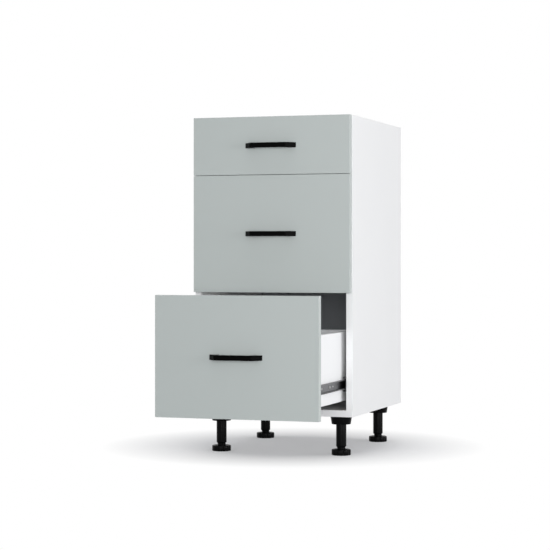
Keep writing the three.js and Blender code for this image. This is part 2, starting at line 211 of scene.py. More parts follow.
tree.links.new(for_the_eye.outputs[0], both.inputs["Fac"])
tree.links.new(near.outputs[0], both.inputs[1])
tree.links.new(far.outputs[0], both.inputs[2])
tree.links.new(both.outputs[0], out.inputs["Surface"])
floor_mesh.materials.append(paper)
print(paper.name, "is white from", FADE_END, "m out")

# %% [markdown]
# ## Effects that several finishes share
#
# Melamine, lacquer, moulded plastic and powder coat all have a fine skin: tiny pits and a
# gloss that drifts a little from place to place. One node group makes both, and each material
# sets its own scale. A second group lets a colour drift by a few percent, because no real
# sheet is one flat colour. A third draws the fine lines that rolling leaves in steel, and a
# fourth the chips of wood in a raw edge.

# %% A builder for node groups


def node_group(name, inputs, outputs):
    """A shader group with its sockets, and its input and output nodes."""
    group = bpy.data.node_groups.new(name, "ShaderNodeTree")
    for label, kind, value in inputs:
        socket = group.interface.new_socket(name=label, in_out="INPUT", socket_type=kind)
        socket.default_value = value
    for label, kind in outputs:
        group.interface.new_socket(name=label, in_out="OUTPUT", socket_type=kind)
    return group, group.nodes.new("NodeGroupInput"), group.nodes.new("NodeGroupOutput")


print("a builder for node groups")

# %% [markdown]
# Most nodes inside a group are noise and plain arithmetic. Small helpers place them, so that a
# group reads like a formula. Each takes either a number or the socket of another node.

# %% Nodes, noise and arithmetic


def node(tree, kind, **settings):
    """A new node, with the settings that are not sockets."""
    made = tree.nodes.new(kind)
    for key, value in settings.items():
        setattr(made, key, value)
    return made


def noise(tree, vector, scale, detail):
    """A cloudy pattern between 0 and 1; its scale is a number or a socket."""
    made = node(tree, "ShaderNodeTexNoise")
    made.inputs["Detail"].default_value = detail
    tree.links.new(vector, made.inputs["Vector"])
    feed(tree, scale, made.inputs["Scale"])
    return made.outputs["Fac"]


def feed(tree, value, socket):
    """A link where the value is a socket, else a plain number."""
    if isinstance(value, bpy.types.NodeSocket):
        tree.links.new(value, socket)
    else:
        socket.default_value = value


def calc(tree, operation, a, b):
    """One step of arithmetic on two numbers or sockets."""
    made = node(tree, "ShaderNodeMath", operation=operation)
    feed(tree, a, made.inputs[0])
    feed(tree, b, made.inputs[1])
    return made.outputs[0]


def around(tree, middle, fac, spread):
    """middle + (fac - 0.5) * spread"""
    offset = calc(tree, "MULTIPLY", calc(tree, "SUBTRACT", fac, 0.5), spread)
    return calc(tree, "ADD", middle, offset)


print("helpers for node groups")

# %% [markdown]
# The texture of a press plate or mould is left on every sheet and moulding as rounded pits. A
# pattern of cells makes the pits and a coarser noise breaks up their order. The gloss drifts
# over some ten centimetres, as wiping and handling leave it.

# %% Skin: fine pits and a drifting gloss
SCALAR = "NodeSocketFloat"
COLOUR = "NodeSocketColor"
skin, skin_in, skin_out = node_group(
    "fine skin",
    [("Scale", SCALAR, 900.0), ("Roughness", SCALAR, 0.4), ("Spread", SCALAR, 0.1)],
    [("Roughness", SCALAR), ("Height", SCALAR)],
)
place_in_skin = node(skin, "ShaderNodeTexCoord").outputs["Object"]
pits = node(skin, "ShaderNodeTexVoronoi", feature="SMOOTH_F1")
pits.inputs["Smoothness"].default_value = 0.6
skin.links.new(place_in_skin, pits.inputs["Vector"])
skin.links.new(skin_in.outputs["Scale"], pits.inputs["Scale"])
waves = noise(skin, place_in_skin, calc(skin, "MULTIPLY", skin_in.outputs["Scale"], 0.33), 3.0)
patches = noise(skin, place_in_skin, 9.0, 3.0)
skin.links.new(
    around(skin, skin_in.outputs["Roughness"], patches, skin_in.outputs["Spread"]),
    skin_out.inputs["Roughness"],
)
half_pits = calc(skin, "MULTIPLY", pits.outputs["Distance"], 0.5)
half_waves = calc(skin, "MULTIPLY", waves, 0.5)
skin.links.new(calc(skin, "ADD", half_pits, half_waves), skin_out.inputs["Height"])
print(skin.name, len(skin.nodes), "nodes")

# %% [markdown]
# Print, lacquer and plastic are never mixed quite evenly. The drift scales a colour up and down
# by slow noise. A colour ramp could do it too, but scaling leaves the hue alone.

# %% Drift: a colour that is never quite the same
drift, drift_in, drift_out = node_group(
    "colour drift",
    [("Colour", COLOUR, (0.8, 0.8, 0.8, 1.0)), ("Amount", SCALAR, 0.02), ("Scale", SCALAR, 6.0)],
    [("Colour", COLOUR)],
)
place_in_drift = node(drift, "ShaderNodeTexCoord").outputs["Object"]
slow = noise(drift, place_in_drift, drift_in.outputs["Scale"], 4.0)
factor = around(drift, 1.0, slow, calc(drift, "MULTIPLY", drift_in.outputs["Amount"], 2.0))
scaled = node(drift, "ShaderNodeVectorMath", operation="SCALE")
drift.links.new(drift_in.outputs["Colour"], scaled.inputs[0])
drift.links.new(factor, scaled.inputs["Scale"])
drift.links.new(scaled.outputs[0], drift_out.inputs["Colour"])
print(drift.name, len(drift.nodes), "nodes")

# %% [markdown]
# Steel strip is rolled along its length, so noise is squeezed across the strip and stretched
# along it. A second, even noise stands for the crystals of the zinc.

# %% Rolled lines: streaks along the length of a strip of steel
rolled, rolled_in, rolled_out = node_group(
    "rolled lines",
    [("Across", SCALAR, 2600.0), ("Along", SCALAR, 30.0)],
    [("Lines", SCALAR), ("Spangle", SCALAR)],
)
place_in_rolled = node(rolled, "ShaderNodeTexCoord").outputs["Object"]
stretch = node(rolled, "ShaderNodeVectorMath", operation="MULTIPLY")
sizes = node(rolled, "ShaderNodeCombineXYZ")
for axis, key in (("X", "Across"), ("Y", "Along"), ("Z", "Across")):
    rolled.links.new(rolled_in.outputs[key], sizes.inputs[axis])
rolled.links.new(place_in_rolled, stretch.inputs[0])
rolled.links.new(sizes.outputs[0], stretch.inputs[1])
rolled.links.new(noise(rolled, stretch.outputs[0], 1.0, 3.0), rolled_out.inputs["Lines"])
rolled.links.new(noise(rolled, place_in_rolled, 160.0, 2.0), rolled_out.inputs["Spangle"])
print(rolled.name, len(rolled.nodes), "nodes")

# %% [markdown]
# Chipboard is pressed from chips of many tones. In a pattern of cells each cell is one chip, and
# the pattern is stretched along the board, because pressing lays the chips flat.

# %% Chips: the cut face of chipboard
chips, chips_in, chips_out = node_group(
    "wood chips",
    [
        ("Scale", SCALAR, 420.0),
        ("Dark", COLOUR, (0.2, 0.12, 0.06, 1.0)),
        ("Light", COLOUR, (0.6, 0.45, 0.28, 1.0)),
    ],
    [("Colour", COLOUR), ("Height", SCALAR)],
)
place_in_chips = node(chips, "ShaderNodeTexCoord").outputs["Object"]
cells = node(chips, "ShaderNodeTexVoronoi", feature="F1")
warp = node(chips, "ShaderNodeVectorMath", operation="MULTIPLY")
warp.inputs[1].default_value = (1.0, 0.45, 0.7)
chips.links.new(place_in_chips, warp.inputs[0])
chips.links.new(warp.outputs[0], cells.inputs["Vector"])
chips.links.new(chips_in.outputs["Scale"], cells.inputs["Scale"])
grey = node(chips, "ShaderNodeSeparateColor")
chips.links.new(cells.outputs["Color"], grey.inputs[0])
fibres = noise(chips, warp.outputs[0], calc(chips, "MULTIPLY", chips_in.outputs["Scale"], 2.5), 3.0)
by_chip = calc(chips, "MULTIPLY", grey.outputs[0], 0.55)
by_fibre = calc(chips, "MULTIPLY", fibres, 0.45)
tone = calc(chips, "ADD", by_chip, by_fibre)
blend = node(chips, "ShaderNodeMix", data_type="RGBA")
chips.links.new(tone, blend.inputs["Factor"])
chips.links.new(chips_in.outputs["Dark"], blend.inputs["A"])
chips.links.new(chips_in.outputs["Light"], blend.inputs["B"])
chips.links.new(blend.outputs["Result"], chips_out.inputs["Colour"])
chips.links.new(tone, chips_out.inputs["Height"])
print(chips.name, len(chips.nodes), "nodes")

# %% [markdown]
# ## Finishes
#
# Every finish starts from one Principled shader. What is the same all over the surface, such
# as the metal or the strength of the gloss, is set on the shader itself, and only what changes
# over the surface comes from the groups.

# %% A starting point for each finish


def finish(name, colour, metallic=0.0, specular=0.5):
    """A new material, its node tree and its shader."""
    material = bpy.data.materials.new(name)
    material.use_nodes = True
    shader = material.node_tree.nodes["Principled BSDF"]
    shader.inputs["Base Color"].default_value = (*colour, 1.0)
    shader.inputs["Metallic"].default_value = metallic
    shader.inputs["Specular IOR Level"].default_value = specular
    return material, material.node_tree, shader


def place(tree, group, **values):
    """A node group in a material, with its own values."""
    made = node(tree, "ShaderNodeGroup", node_tree=group)
    for key, value in values.items():
        made.inputs[key].default_value = value
    return made


def drifting(tree, shader, colour, amount, scale):
    """Feeds the shader a colour that drifts by the given share."""
    made = place(tree, drift, Colour=(*colour, 1.0), Amount=amount, Scale=scale)
    tree.links.new(made.outputs["Colour"], shader.inputs["Base Color"])


def relief(tree, shader, height, depth):
    """A bump from a height pattern; its depth is in metres."""
    bump = node(tree, "ShaderNodeBump")
    bump.inputs["Distance"].default_value = depth
    bump.inputs["Strength"].default_value = 1.0
    tree.links.new(height, bump.inputs["Height"])
    tree.links.new(bump.outputs["Normal"], shader.inputs["Normal"])


def skinned(name, colour, rough, spread, scale, depth, amount, drift_scale=6.0, specular=0.5):
    """A pressed, lacquered, moulded or powder-coated finish."""
    material, tree, shader = finish(name, colour, specular=specular)
    drifting(tree, shader, colour, amount, drift_scale)
    made = place(tree, skin, Scale=scale, Roughness=rough, Spread=spread)
    tree.links.new(made.outputs["Roughness"], shader.inputs["Roughness"])
    relief(tree, shader, made.outputs["Height"], depth)
    return material


print("a base for finishes")

# %% [markdown]
# The panels, the bands, the drawer boards and the fronts are all pressed or lacquered skins.
# The raw edges and the rear of the back sheet show wood instead.

# %% Board finishes
white_melamine = skinned(
    "white melamine", (0.826, 0.83, 0.837),
    rough=0.42, spread=0.12, scale=1500.0, depth=0.00003, amount=0.008,
)
white_band = skinned(
    "white edge band", (0.925, 0.93, 0.937),
    rough=0.34, spread=0.08, scale=900.0, depth=0.00001, amount=0.006,
)
box_melamine = skinned(
    "bright white box board", (0.92, 0.925, 0.932),
    rough=0.42, spread=0.12, scale=1500.0, depth=0.00003, amount=0.008,
)
sage_laminate = skinned(
    "sage satin front", (0.4675, 0.508, 0.497),
    rough=0.36, spread=0.1, scale=1100.0, depth=0.00002, amount=0.012,
    drift_scale=3.0,
)
# Grey as painted shade: it makes the inside of the cabinet darker.
back_face_painted_shade = skinned(
    "grey back face as painted shade", (0.4, 0.416, 0.446),
    rough=0.6, spread=0.12, scale=800.0, depth=0.00003, amount=0.015,
)
white_sheet = skinned(
    "white drawer bottom", (0.8, 0.805, 0.81),
    rough=0.5, spread=0.1, scale=900.0, depth=0.00002, amount=0.01,
)


def woody(name, dark, light, scale, depth, rough):
    """A cut or pressed face that shows wood."""
    material, tree, shader = finish(name, light, specular=0.25)
    made = place(tree, chips, Scale=scale, Dark=(*dark, 1.0), Light=(*light, 1.0))
    tree.links.new(made.outputs["Colour"], shader.inputs["Base Color"])
    shader.inputs["Roughness"].default_value = rough
    relief(tree, shader, made.outputs["Height"], depth)
    return material


raw_chipboard = woody(
    "raw chipboard edge", dark=(0.24, 0.15, 0.075), light=(0.62, 0.47, 0.3),
    scale=420.0, depth=0.0003, rough=0.85,
)
brown_fibre = woody(
    "brown fibreboard", dark=(0.15, 0.075, 0.032), light=(0.235, 0.125, 0.058),
    scale=900.0, depth=0.00008, rough=0.7,
)
print("board finishes", white_melamine.name, sage_laminate.name, raw_chipboard.name)

# %% [markdown]
# The handles are powder-coated and the legs moulded, so both are nearly black and differ in
# their grain. Their gloss is turned far down, because the white room would make them grey.
# Slides and screws are zinc-plated, the cam locks are cast zinc, and only the balls are bare.
# The slides' zinc is made nearly black. That is painted shade: its colour carries the shade
# inside the cabinet.

# %% Black and metal finishes
powder_coat = skinned(
    "black powder coat", (0.0015, 0.0015, 0.0015),
    rough=0.36, spread=0.1, scale=2400.0, depth=0.00006, amount=0.1,
    drift_scale=40.0, specular=0.02,
)
black_plastic = skinned(
    "black moulded plastic", (0.002, 0.0021, 0.0023),
    rough=0.3, spread=0.14, scale=1600.0, depth=0.00005, amount=0.12,
    drift_scale=30.0, specular=0.055,
)


def metal(name, colour, rough, spread, line_depth):
    """Bare or plated metal with rolled lines."""
    material, tree, shader = finish(name, colour, metallic=1.0)
    drifting(tree, shader, colour, amount=0.08, scale=60.0)
    made = place(tree, rolled)
    rough_here = around(tree, rough, made.outputs["Spangle"], spread)
    tree.links.new(rough_here, shader.inputs["Roughness"])
    relief(tree, shader, made.outputs["Lines"], line_depth)
    return material


# The slides' zinc is nearly black as painted shade, darker than real zinc plating.
zinc_steel_painted_shade = metal("zinc-plated steel darkened as painted shade", (0.13, 0.133, 0.14), 0.34, 0.16, 0.00002)
cage_steel = metal("cage steel", (0.42, 0.425, 0.43), 0.3, 0.12, 0.00001)
ball_steel = metal("ball steel", (0.62, 0.62, 0.63), 0.12, 0.05, 0.000002)
screw_zinc = metal("screw zinc", (0.5, 0.5, 0.51), 0.3, 0.12, 0.00001)
die_cast = metal("die-cast zinc", (0.4, 0.4, 0.41), 0.45, 0.15, 0.00002)
print("metals", zinc_steel_painted_shade.name, cage_steel.name, ball_steel.name, screw_zinc.name)

# %% [markdown]
# ## From mesh to piece
#
# Every piece ends the same way: its faces are turned outwards, its edges are marked sharp or
# smooth by their angle, and it is told what it moves with.

# %% Finish a mesh and keep it as a piece
SHARP_ANGLE = math.radians(38)


def keep(bm, name, finishes, body, slot, *replaced, even=False):
    """The mesh as a piece that rides on a body. even: shade it by its large faces."""
    bmesh.ops.recalc_face_normals(bm, faces=bm.faces)
    for face in bm.faces:
        face.smooth = True
    for edge in bm.edges:
        edge.smooth = len(edge.link_faces) == 2 and edge.calc_face_angle() < SHARP_ANGLE
    mesh = bpy.data.meshes.new(name)
    bm.to_mesh(mesh)
    bm.free()
    for made in finishes:
        mesh.materials.append(made)
    piece = bpy.data.objects.new(name, mesh)
    bpy.context.collection.objects.link(piece)
    if even:
        weighted = piece.modifiers.new("even shading", "WEIGHTED_NORMAL")
        weighted.keep_sharp = True
    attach(piece, body)
    if replaced:
        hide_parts(*replaced)
    return piece


def ease(bm, edges, radius, segments=2):
    """Rounds edges, as sanding or a radius cutter does."""
    bmesh.ops.bevel(
        bm, geom=list(edges), offset=radius, offset_type="OFFSET", segments=segments,
        profile=0.5, affect="EDGES", clamp_overlap=True, material=-1,
    )


def new_verts(drawn):
    """The vertices that an extrusion has made."""
    return [item for item in drawn["geom"] if isinstance(item, bmesh.types.BMVert)]


def place_of(name):
    """The low and the high corner of a CAD node's box."""
    return tuple(Vector(corner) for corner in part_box(name))


# %% [markdown]
# ## Boards
#
# A melamine board is chipboard with a thin printed skin on both faces. Its front edge gets a
# glued plastic band, rounded over a little, and the edges that nobody sees stay raw. A board
# starts as a cube of the CAD node's size, gets its edges eased, and is then sliced one band's
# thickness behind each banded edge, so that the band is a strip of its own.

# %% Melamine boards
EASE_RADIUS = 0.0005
BAND_THICKNESS = 0.0008
FACE, BAND, RAW = 0, 1, 2
BOARD_FINISHES = (white_melamine, white_band, raw_chipboard)
BOX_FINISHES = (box_melamine, white_band, raw_chipboard)


def slab(low, high):
    """A cube stretched to fill a box."""
    bm = bmesh.new()
    fit = Matrix.Translation((low + high) / 2) @ Matrix.Diagonal((*(high - low), 1.0))
    bmesh.ops.create_cube(bm, size=1.0, matrix=fit)
    return bm


def coat_board(bm, low, high, banded):
    """Slices off each band, and gives faces, bands and raw edges their materials."""
    thin = min(range(3), key=lambda axis: high[axis] - low[axis])
    depth = BAND_THICKNESS
    for way in banded:
        corner = high if sum(way) > 0 else low
        at = Vector(corner[axis] if way[axis] else 0.0 for axis in range(3)) - Vector(way) * depth
        parts = bm.verts[:] + bm.edges[:] + bm.faces[:]
        bmesh.ops.bisect_plane(bm, geom=parts, plane_co=at, plane_no=way)
    for face in bm.faces:
        middle = face.calc_center_median()
        face.material_index = FACE
        if abs(face.normal[thin]) < 0.1 and max(abs(v) for v in face.normal) > 0.99:
            face.material_index = RAW
        for way in banded:
            corner = high if sum(way) > 0 else low
            axis = max(range(3), key=lambda i: abs(way[i]))
            if abs(middle[axis] - corner[axis]) < depth:
                face.material_index = BAND


print("a board has", len(BOARD_FINISHES), "finishes")

# %% [markdown]
# The two side panels are banded in front and below, where water from the floor could reach the
# chipboard. The bottom and the two rails stand between them, so only their front edges show.

# %% Carcass boards


def board(name, body, banded):
    low, high = place_of(name)
    bm = slab(low, high)
    ease(bm, bm.edges, EASE_RADIUS)
    bmesh.ops.recalc_face_normals(bm, faces=bm.faces)
    coat_board(bm, low, high, banded)
    return keep(bm, name + "_board", BOARD_FINISHES, body, "white_board", name, even=True)


FRONT, REAR, UP, DOWN = (0, -1, 0), (0, 1, 0), (0, 0, 1), (0, 0, -1)
for name in ("side_panel_left", "side_panel_right"):
    made = board(name, "carcass", [FRONT, DOWN])
    print(made.name, len(made.data.polygons), "faces")
for name in ("bottom_panel", "top_rail_front", "top_rail_rear"):
    made = board(name, "carcass", [FRONT])
    print(made.name, len(made.data.polygons), "faces")

# %% [markdown]
# The back is a 3 mm sheet of fibreboard, left brown behind. The face that looks into the cabinet
# is grey. That is painted shade: the grey makes the inside of the cabinet darker than the little
# light that gets there does.

# %% Back sheet
low, high = place_of("back_panel")
bm = slab(low, high)
ease(bm, bm.edges, 0.0002, 1)
bmesh.ops.recalc_face_normals(bm, faces=bm.faces)
for face in bm.faces:
    face.material_index = 0 if face.normal.y < -0.9 else 1
made = keep(
    bm, "back_sheet", (back_face_painted_shade, brown_fibre), "carcass", "back_sheet", "back_panel", even=True
)
print(made.name, [round(v, 3) for v in high - low])

# %% [markdown]
# ## Screws and nails
#
# One head shape serves every screw and nail: a turned dome with a cross recess. The cross is
# three corners, set four times about the axis. Its face is pressed down into the head, and its
# rim is bridged to one ring after another, down to the edge. The shape is made once and copied
# to each place, because it comes dozens of times.

# %% A screw head with a cross recess


def screw_head(radius, rise, flat=False):
    """A head that stands on z = 0 and looks up, as a small mesh to copy."""
    bm = bmesh.new()
    arm, width, deep = radius * 0.52, radius * 0.13, rise * 0.75
    star = []
    for turn in range(4):
        spin = Matrix.Rotation(turn * math.pi / 2, 4, "Z")
        for x, y in ((arm, -width), (arm, width), (width, width)):
            star.append(bm.verts.new(spin @ Vector((x, y, rise))))
    rim_edges = [bm.edges.new((star[i], star[(i + 1) % 12])) for i in range(12)]
    floor_face = bm.faces.new(star)
    drawn = bmesh.ops.extrude_face_region(bm, geom=[floor_face])
    sunk = new_verts(drawn)
    bmesh.ops.scale(bm, vec=(0.6, 0.6, 1.0), verts=sunk)
    bmesh.ops.translate(bm, vec=(0, 0, -deep), verts=sunk)
    if floor_face.is_valid:
        bmesh.ops.delete(bm, geom=[floor_face], context="FACES_ONLY")
    inner = rim_edges
    rings = [(0.72, rise), (0.93, rise * 0.72), (1.0, rise * 0.3), (1.0, 0.0)]
    if flat:
        rings = [(0.93, rise), (1.0, rise * 0.6), (1.0, 0.0)]
    for share, height in rings:
        lift = Matrix.Translation((0, 0, height)) @ Matrix.Rotation(-math.pi / 12, 4, "Z")
        ring = bmesh.ops.create_circle(bm, segments=12, radius=radius * share, matrix=lift)
        outer = list({edge for v in ring["verts"] for edge in v.link_edges})
        bmesh.ops.bridge_loops(bm, edges=inner + outer)
        inner = outer
    bmesh.ops.contextual_create(bm, geom=inner)
    bmesh.ops.recalc_face_normals(bm, faces=bm.faces)
    shape = bpy.data.meshes.new("head")
    bm.to_mesh(shape)
    bm.free()
    return shape


print("a recipe for screw heads")

# %% [markdown]
# Modifiers or instances could repeat the head too, but a set of screws that moves with one body
# is simplest as one mesh. Each copy is turned to look out of its board, and a little about its
# own axis, because no fitter leaves all crosses in line. The nails get the same head, too small
# for its cross to show.

# %% Copies of a head


def copies(shape, places):
    """One mesh with the shape at each (position, direction it looks in)."""
    bm = bmesh.new()
    for index, (at, way) in enumerate(places):
        known = set(bm.verts)
        bm.from_mesh(shape)
        turn = Vector(way).to_track_quat("Z", "Y").to_matrix().to_4x4()
        spin = Matrix.Rotation(0.6 * index, 4, "Z")
        bmesh.ops.transform(
            bm, matrix=Matrix.Translation(at) @ turn @ spin,
            verts=[v for v in bm.verts if v not in known],
        )
    return bm


def fasten(shape, places, name, body):
    """A set of screws or nails, as one piece."""
    return keep(copies(shape, places), name, (screw_zinc,), body, "slide_steel")


pan_head = screw_head(0.0037, 0.0019)
wide_head = screw_head(0.0045, 0.0022)
sunk_head = screw_head(0.0035, 0.0007, flat=True)
flush_head = screw_head(0.0036, 0.0004, flat=True)
nail_head = screw_head(0.0015, 0.0004, flat=True)
print("screw head", len(pan_head.polygons), "faces")

# %% [markdown]
# The back sheet is nailed all round into the edges of the carcass.

# %% Back nails
SIDE_NAIL_X, LOWEST_NAIL, NAIL_PITCH, NAILS_PER_SIDE = 0.192, 0.13, 0.109, 7
ROW_NAIL_X, ROW_NAIL_Z = (-0.1, 0.0, 0.1), (0.105, 0.809)
nails = []
rear = place_of("back_panel")[1].y
for x in (-SIDE_NAIL_X, SIDE_NAIL_X):
    for step in range(NAILS_PER_SIDE):
        nails.append(((x, rear, LOWEST_NAIL + step * NAIL_PITCH), REAR))
for x in ROW_NAIL_X:
    nails += [((x, rear, z), REAR) for z in ROW_NAIL_Z]
made = fasten(nail_head, nails, "back_nails", "carcass")
print(made.name, len(nails))

# %% [markdown]
# ## Drawers
#
# Each drawer is a box of four melamine boards with a thin bottom held in a groove all round,
# and a slab front screwed to it. A box board starts as its own cross-section, with the groove
# already in it, and is drawn out to its length, as a board leaves the moulder. Its upper edge
# is banded, because it is seen whenever the drawer is open.

# %% Grooved box boards
GROOVE_LOW, GROOVE_HIGH, GROOVE_DEPTH = 0.012, 0.0155, 0.008


def grooved_board(name, body, inner_side, run):
    """inner_side: +1 or -1 along X or Y, the way the grooved face looks. run: 0 for X, 1 for Y."""
    low, high = place_of(name)
    across = 1 - run
    inner, outer = (high, low) if inner_side > 0 else (low, high)
    inner, outer = inner[across], outer[across]
    groove = inner - inner_side * GROOVE_DEPTH
    section = [
        (outer, low.z), (inner, low.z), (inner, low.z + GROOVE_LOW), (groove, low.z + GROOVE_LOW),
        (groove, low.z + GROOVE_HIGH), (inner, low.z + GROOVE_HIGH),
        (inner, high.z), (outer, high.z),
    ]
    bm = bmesh.new()
    corners = []
    for a, z in section:
        at = Vector((0.0, 0.0, z))
        at[across], at[run] = a, low[run]
        corners.append(bm.verts.new(at))
    drawn = bmesh.ops.extrude_face_region(bm, geom=[bm.faces.new(corners)])
    length = Vector((0.0, 0.0, 0.0))
    length[run] = high[run] - low[run]
    bmesh.ops.translate(bm, vec=length, verts=new_verts(drawn))
    bmesh.ops.recalc_face_normals(bm, faces=bm.faces)
    outside = [
        edge for edge in bm.edges
        if sum(
            all(abs(v.co[axis] - side[axis]) < 1e-6 for v in edge.verts)
            for axis in range(3) for side in (low, high)
        ) > 1
    ]
    ease(bm, outside, EASE_RADIUS)
    bmesh.ops.recalc_face_normals(bm, faces=bm.faces)
    coat_board(bm, low, high, [UP])
    for face in bm.faces:
        middle = face.calc_center_median()
        depth = (middle[across] - outer) * inner_side
        in_the_cut = 0.0001 < depth < abs(inner - outer) - 0.0002
        near_the_foot = low.z + 0.001 < middle.z < low.z + 0.02
        if in_the_cut and near_the_foot and abs(face.normal[run]) < 0.1:
            face.material_index = RAW
    return keep(bm, name + "_board", BOX_FINISHES, body, "white_board", name, even=True)


for where in ("top", "middle", "bottom"):
    body = f"{where}_drawer"
    walls = {"side_left": (1, 1), "side_right": (-1, 1), "box_front": (1, 0), "box_back": (-1, 0)}
    for key, (inner_side, run) in walls.items():
        made = grooved_board(f"{body}_{key}", body, inner_side, run)
    print(body, "walls,", len(made.data.polygons), "faces in the last")

# %% [markdown]
# The bottom is a thin sheet that is white on both faces. It ends inside the groove of the four
# walls, so it needs no fixing, and its edges are never seen.

# %% Drawer bottoms
for where in ("top", "middle", "bottom"):
    body = f"{where}_drawer"
    low, high = place_of(f"{body}_bottom")
    bm = slab(low, high)
    ease(bm, bm.edges, 0.0002, 1)
    made = keep(
        bm, f"{body}_sheet", (white_sheet,), body, "bottom_sheet", f"{body}_bottom", even=True
    )
print(made.name, [round(v, 3) for v in high - low])

# %% [markdown]
# The slab fronts carry the colour of the kitchen. They are boards wrapped in a satin film, so
# face and edges are the same colour and every edge is a little rounder than on the carcass.

# %% Slab fronts
FRONT_EDGE = 0.00075
for where in ("top", "middle", "bottom"):
    body = f"{where}_drawer"
    low, high = place_of(f"{body}_front")
    bm = slab(low, high)
    ease(bm, bm.edges, FRONT_EDGE, 3)
    made = keep(
        bm, f"{body}_slab", (sage_laminate,), body, "sage_front", f"{body}_front", even=True
    )
    print(made.name, [round(v, 3) for v in high - low])

# %% [markdown]
# The handle is a flat bar bent into a bridge with two slanted feet. It starts as its outline
# seen from above, is drawn up to its height, and gets its bends and its soft rim as bevels.

# %% Bridge handles
OUTER_FACE, INNER_FACE = -0.024, -0.016
BRIDGE = (
    (-0.064, 0.0), (-0.045, OUTER_FACE), (0.045, OUTER_FACE), (0.064, 0.0),
    (0.04, 0.0), (0.036, INNER_FACE), (-0.036, INNER_FACE), (-0.04, 0.0),
)
OUTER_BEND, INNER_BEND, HANDLE_RIM = 0.00194, 0.0031, 0.0008


def handle_shape(low, high):
    bm = bmesh.new()
    foot_y = high.y
    outline = [bm.verts.new((x, foot_y + y, low.z)) for x, y in BRIDGE]
    drawn = bmesh.ops.extrude_face_region(bm, geom=[bm.faces.new(outline)])
    bmesh.ops.translate(bm, vec=(0, 0, high.z - low.z), verts=new_verts(drawn))
    bmesh.ops.recalc_face_normals(bm, faces=bm.faces)
    for reach, depth in ((OUTER_BEND, OUTER_FACE), (INNER_BEND, INNER_FACE)):
        bends = [
            edge for edge in bm.edges
            if all(abs(v.co.y - foot_y - depth) < 1e-6 for v in edge.verts)
            and abs(edge.verts[0].co.z - edge.verts[1].co.z) > 1e-3
        ]
        ease(bm, bends, reach, 6)
    rims = [
        edge for edge in bm.edges
        if abs(edge.verts[0].co.z - edge.verts[1].co.z) < 1e-6
        and not all(abs(v.co.y - foot_y) < 1e-6 for v in edge.verts)
    ]
    ease(bm, rims, HANDLE_RIM, 3)
    return bm


for where in ("top", "middle", "bottom"):
    body = f"{where}_drawer"
    low, high = place_of(f"{body}_handle")
    made = keep(
        handle_shape(low, high), f"{body}_bridge", (powder_coat,), body, "handle_black",
        f"{body}_handle", even=True,
    )
    print(made.name, len(made.data.polygons), "faces")

# %% [markdown]
# Inside the box, two washer-headed screws hold the handle through both boards, and shorter
# ones pull the front against the box. Sunk screws in the box sides hold its corners.

# %% Screws in the drawers
HANDLE_CENTRES, FRONT_SCREW_X, TALL_BOX = 0.048, 0.115, 0.12
for where in ("top", "middle", "bottom"):
    body = f"{where}_drawer"
    low, high = place_of(f"{body}_box_front")
    handle_low, handle_high = place_of(f"{body}_handle")
    handle_z = (handle_low.z + handle_high.z) / 2
    face_y = high.y
    held = [((x, face_y, handle_z), REAR) for x in (-HANDLE_CENTRES, HANDLE_CENTRES)]
    fasten(wide_head, held, f"{body}_handle_screws", body)
    tall = high.z - low.z > TALL_BOX
    rows = (low.z + 0.04, high.z - 0.03) if tall else (high.z - 0.03,)
    corner_rows = (low.z + 0.085, high.z - 0.018) if tall else (high.z - 0.014,)
    pulled = [((x, face_y, z), REAR) for x in (-FRONT_SCREW_X, FRONT_SCREW_X) for z in rows]
    fasten(pan_head, pulled, f"{body}_front_screws", body)
    corners = []
    for side, way in (("left", -1), ("right", 1)):
        wall_low, wall_high = place_of(f"{body}_side_{side}")
        x = wall_low.x if way < 0 else wall_high.x
        for y in (wall_low.y + 0.008, wall_high.y - 0.008):
            for z in corner_rows:
                corners.append(((x, y, z), (way, 0, 0)))
    fasten(sunk_head, corners, f"{body}_corner_screws", body)
    print(body, len(held), "handle,", len(pulled), "front and", len(corners), "corner screws")

# %% [markdown]
# ## Legs
#
# Each leg is three moulded pieces: a socket screwed under the bottom panel, a tube pushed
# into it, and a foot whose coarse thread turns in the tube. All three are turned shapes, so
# each is the outline of one side, spun about the leg's axis. The socket's pockets are drawn in
# afterwards, and the finger notches in the foot's rim are made by moving its spun points.

# %% Turned shapes
ARC_STEPS = 3


def turned(profile, segments):
    """A profile of (radius, height) that starts and ends on the Z axis, spun about it."""
    bm = bmesh.new()
    points = [bm.verts.new((radius, 0.0, height)) for radius, height in profile]
    edges = [bm.edges.new(pair) for pair in zip(points, points[1:])]
    bmesh.ops.spin(
        bm, geom=points + edges, cent=(0, 0, 0), axis=(0, 0, 1), dvec=(0, 0, 0),
        angle=math.tau, steps=segments, use_merge=True, use_duplicate=False,
    )
    bmesh.ops.remove_doubles(bm, verts=bm.verts, dist=1e-6)
    bmesh.ops.recalc_face_normals(bm, faces=bm.faces)
    return bm


def rounded(corners):
    """Adds an arc at each corner of (radius, height, rounding), by a curve through the corner."""
    points = []
    for index, corner in enumerate(corners):
        here = Vector(corner[:2])
        size = corner[2] if len(corner) > 2 else 0.0
        if not size:
            points.append(tuple(here))
            continue
        before = (Vector(corners[index - 1][:2]) - here).normalized() * size
        after = (Vector(corners[(index + 1) % len(corners)][:2]) - here).normalized() * size
        for step in range(ARC_STEPS + 1):
            t = step / ARC_STEPS
            points.append(tuple(here + before * (1 - t) ** 2 + after * t ** 2))
    return points


def tell(name, bm):
    """Prints how many faces a shape has, and frees it."""
    print(name, len(bm.faces), "faces")
    bm.free()


print("turned shapes ready")

# %% [markdown]
# All four legs are alike, so each piece is made about the Z axis from the sizes of the CAD
# nodes of one leg, and moved to its own leg later. Outlines are written as their corners, each
# as (radius, height, rounding).

